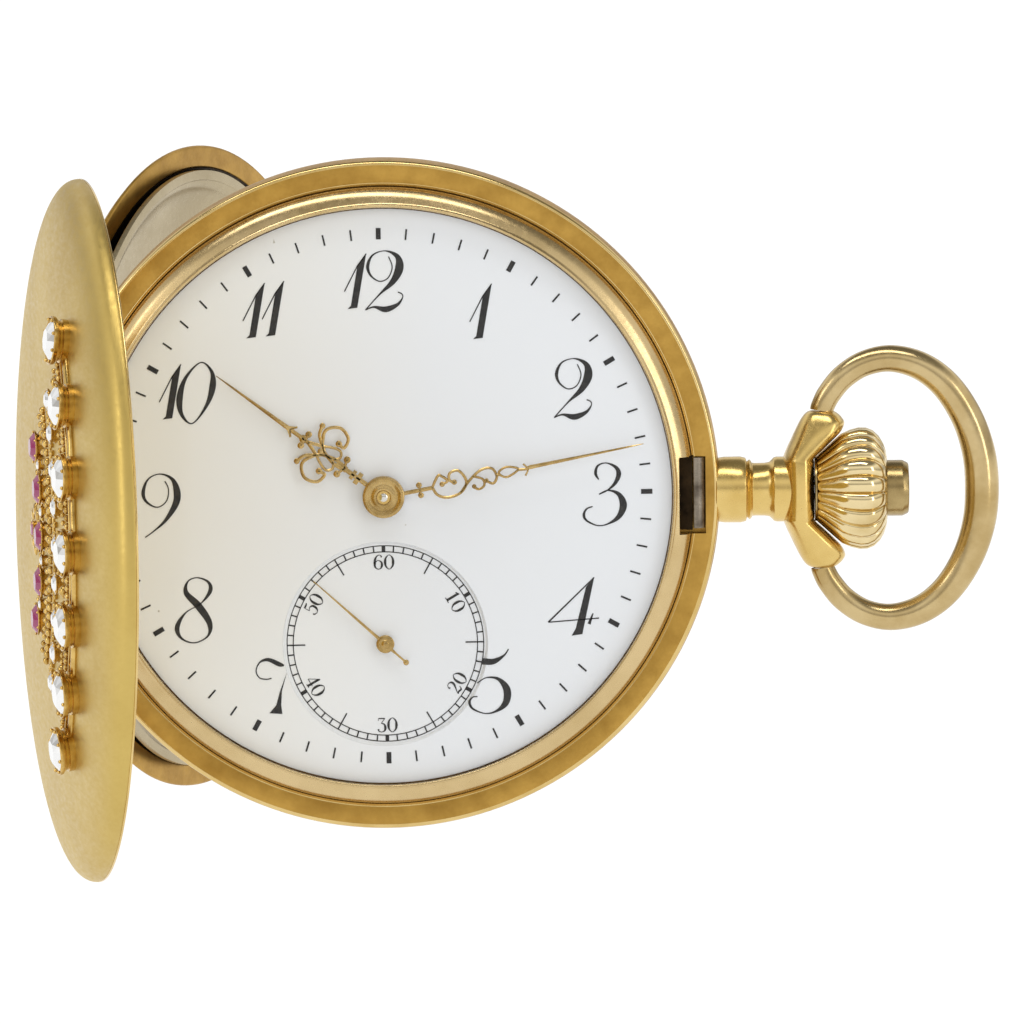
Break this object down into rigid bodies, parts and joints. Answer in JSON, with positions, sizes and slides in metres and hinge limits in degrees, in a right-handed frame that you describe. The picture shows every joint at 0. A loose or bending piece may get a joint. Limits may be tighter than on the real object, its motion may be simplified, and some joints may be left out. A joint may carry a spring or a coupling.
{
  "type": "hunter pocket watch",
  "caption": "Open hunter pocket watch with a jewelled sprung lid, rear and dust covers, enamel dial, ribbed crown and a bow at 3 o'clock.",
  "frame": {"origin": "centre of the crystal's flat front face", "axes": "+X to the crown, +Z to 12 o'clock, the dial faces -Y"},
  "size_m": [0.0733, 0.0994, 0.0502],
  "materials": {
    "matte_gold": "satin",
    "polished_gold": "polished",
    "gilt_hand": "polished",
    "gilt_brass": "polished",
    "nickel_plate": "striped",
    "steel": "polished",
    "blued_steel": "blued",
    "enamel": "glossy",
    "crystal_glass": "polished",
    "diamond": "faceted",
    "ruby": "faceted"
  },
  "bodies": {
    "case": {"case_band": "matte_gold", "bezel_ring": "polished_gold", "crystal": "crystal_glass", "front_hinge_pin": "steel", "rear_hinge_pin": "steel", "cuvette_hinge_pin": "steel", "pendant_neck": "polished_gold", "bow_yoke": "polished_gold", "lift_spring": "steel", "dial": "enamel", "seconds_dial": "enamel", "main_plate": "nickel_plate", "barrel_bridge": "nickel_plate", "train_bridge": "nickel_plate", "balance_cock": "nickel_plate", "pallet_bridge": "nickel_plate", "mainspring": "blued_steel", "bridge_screw_1": "blued_steel", "bridge_screw_2": "blued_steel", "bridge_screw_3": "blued_steel", "bridge_screw_4": "blued_steel", "bridge_screw_5": "blued_steel"},
    "front_cover": {"front_cover": "matte_gold", "collet_ring": "matte_gold", "ruby_ring": "matte_gold", "center_ornament": "matte_gold"},
    "rear_cover": {"rear_cover": "matte_gold"},
    "cuvette": {"cuvette": "polished_gold"},
    "bow": {"bow": "polished_gold"},
    "winding_pinion": {"winding_pinion": "steel"},
    "crown": {"crown": "polished_gold", "winding_stem": "steel"},
    "release_button": {"release_button": "polished_gold"},
    "sliding_clutch": {"sliding_clutch": "steel"},
    "setting_lever": {"setting_lever": "steel"},
    "latch_spring": {"latch_spring": "steel"},
    "crown_wheel": {"crown_wheel": "steel"},
    "ratchet_wheel": {"ratchet_wheel": "steel", "barrel_arbor": "steel"},
    "click": {"click": "steel"},
    "barrel": {"barrel": "gilt_brass"},
    "centre_wheel": {"centre_wheel": "gilt_brass"},
    "third_wheel": {"third_wheel": "gilt_brass"},
    "fourth_wheel": {"fourth_wheel": "gilt_brass", "seconds_hand": "gilt_hand"},
    "escape_wheel": {"escape_wheel": "steel"},
    "pallet_fork": {"pallet_fork": "steel"},
    "balance": {"balance_wheel": "gilt_brass", "balance_staff": "steel", "hairspring": "blued_steel"},
    "regulator": {"regulator_lever": "steel"},
    "minute_hand": {"cannon_pinion": "steel", "minute_hand": "gilt_hand"},
    "minute_wheel": {"minute_wheel": "gilt_brass"},
    "hour_hand": {"hour_wheel": "gilt_brass", "hour_hand": "gilt_hand"}
  },
  "joints": [
    {"name": "front_cover_hinge", "type": "hinge", "parent": "case", "child": "front_cover", "pos_m": [-0.02525, 0.00275, 0], "axis": [0, 0, -1], "range_deg": [-79.6, 0], "stiffness_Nm_per_rad": 0.004, "springref_deg": 51.57},
    {"name": "rear_cover_hinge", "type": "hinge", "parent": "case", "child": "rear_cover", "pos_m": [-0.02525, 0.00725, 0], "axis": [0, 0, 1], "range_deg": [-65, 7]},
    {"name": "cuvette_hinge", "type": "hinge", "parent": "case", "child": "cuvette", "pos_m": [-0.02335, 0.00678, 0], "axis": [0, 0, 1], "range_deg": [-67.7, 7.4]},
    {"name": "bow_swivel", "type": "hinge", "parent": "case", "child": "bow", "pos_m": [0.0325, 0.005, 0], "axis": [0, 0, 1], "range_deg": [-90, 90]},
    {"name": "crown_turn", "type": "hinge", "parent": "case", "child": "winding_pinion", "pos_m": [0.019, 0.005, 0], "axis": [1, 0, 0], "continuous": true},
    {"name": "crown_pull", "type": "slide", "parent": "winding_pinion", "child": "crown", "axis": [1, 0, 0], "range_m": [0, 0.001]},
    {"name": "button_press", "type": "slide", "parent": "crown", "child": "release_button", "axis": [-1, 0, 0], "range_m": [0, 0.0008], "stiffness_N_per_m": 300},
    {"name": "latch_slide", "type": "slide", "parent": "case", "child": "latch_spring", "axis": [-1, 0, 0], "range_m": [0, 0.0005]},
    {"name": "clutch_slide", "type": "slide", "parent": "winding_pinion", "child": "sliding_clutch", "axis": [-1, 0, 0], "range_m": [0, 0.00045]},
    {"name": "setting_lever_pivot", "type": "hinge", "parent": "case", "child": "setting_lever", "pos_m": [0.0178, 0.005, 0.0042], "axis": [0, 1, 0], "range_deg": [-0.01, 10.5]},
    {"name": "crown_wheel_turn", "type": "hinge", "parent": "case", "child": "crown_wheel", "pos_m": [0.0146, 0.0075, 0], "axis": [0, 1, 0], "continuous": true},
    {"name": "ratchet_turn", "type": "hinge", "parent": "case", "child": "ratchet_wheel", "pos_m": [0.0058, 0.005, 0.0069], "axis": [0, 1, 0], "continuous": true},
    {"name": "click_pivot", "type": "hinge", "parent": "case", "child": "click", "pos_m": [-0.0006, 0.00765, 0.0122], "axis": [0, 1, 0], "range_deg": [0, 8], "stiffness_Nm_per_rad": 0.00001},
    {"name": "seconds_turn", "type": "hinge", "parent": "case", "child": "fourth_wheel", "pos_m": [0, 0.005, -0.011], "axis": [0, 1, 0], "continuous": true},
    {"name": "third_turn", "type": "hinge", "parent": "case", "child": "third_wheel", "pos_m": [0.00358, 0.005, -0.00625], "axis": [0, 1, 0], "continuous": true},
    {"name": "centre_turn", "type": "hinge", "parent": "case", "child": "centre_wheel", "pos_m": [0, 0.005, 0], "axis": [0, 1, 0], "continuous": true},
    {"name": "barrel_turn", "type": "hinge", "parent": "case", "child": "barrel", "pos_m": [0.0058, 0.005, 0.0069], "axis": [0, 1, 0], "continuous": true},
    {"name": "escape_turn", "type": "hinge", "parent": "case", "child": "escape_wheel", "pos_m": [-0.0047, 0.005, -0.0122], "axis": [0, 1, 0], "continuous": true},
    {"name": "balance_swing", "type": "hinge", "parent": "case", "child": "balance", "pos_m": [-0.0113, 0.005, -0.0056], "axis": [0, 1, 0], "range_deg": [-150, 150], "stiffness_Nm_per_rad": 0.000006},
    {"name": "pallet_rock", "type": "hinge", "parent": "case", "child": "pallet_fork", "pos_m": [-0.00767, 0.005, -0.00923], "axis": [0, 1, 0], "range_deg": [-4.1, 4.1]},
    {"name": "regulator_turn", "type": "hinge", "parent": "case", "child": "regulator", "pos_m": [-0.0113, 0.005, -0.0056], "axis": [0, 1, 0], "range_deg": [-15, 15]},
    {"name": "hand_setting", "type": "hinge", "parent": "centre_wheel", "child": "minute_hand", "pos_m": [0, 0.005, 0], "axis": [0, 1, 0], "continuous": true},
    {"name": "minute_wheel_turn", "type": "hinge", "parent": "case", "child": "minute_wheel", "pos_m": [0.0026, 0.005, 0.0015], "axis": [0, 1, 0], "continuous": true},
    {"name": "hour_turn", "type": "hinge", "parent": "case", "child": "hour_hand", "pos_m": [0, 0.005, 0], "axis": [0, 1, 0], "continuous": true}
  ],
  "couplings": [
    {"joint": "cuvette_hinge", "follows": "rear_cover_hinge", "ratio": 1.0385},
    {"joint": "latch_slide", "follows": "button_press", "ratio": 0.6},
    {"joint": "clutch_slide", "follows": "crown_pull", "ratio": 0.4},
    {"joint": "setting_lever_pivot", "follows": "crown_pull", "rad_per_m": 174.53},
    {"joint": "crown_wheel_turn", "follows": "crown_turn", "ratio": -0.58333},
    {"joint": "ratchet_turn", "follows": "crown_turn", "ratio": 0.4375},
    {"joint": "third_turn", "follows": "seconds_turn", "ratio": -0.13333},
    {"joint": "centre_turn", "follows": "seconds_turn", "ratio": 0.016667},
    {"joint": "barrel_turn", "follows": "seconds_turn", "ratio": -0.0022222},
    {"joint": "escape_turn", "follows": "seconds_turn", "ratio": -10},
    {"joint": "pallet_rock", "follows": "balance_swing", "ratio": 0.026667},
    {"joint": "minute_wheel_turn", "follows": "hand_setting", "ratio": -0.33333},
    {"joint": "hour_turn", "follows": "hand_setting", "ratio": 0.083333}
  ]
}
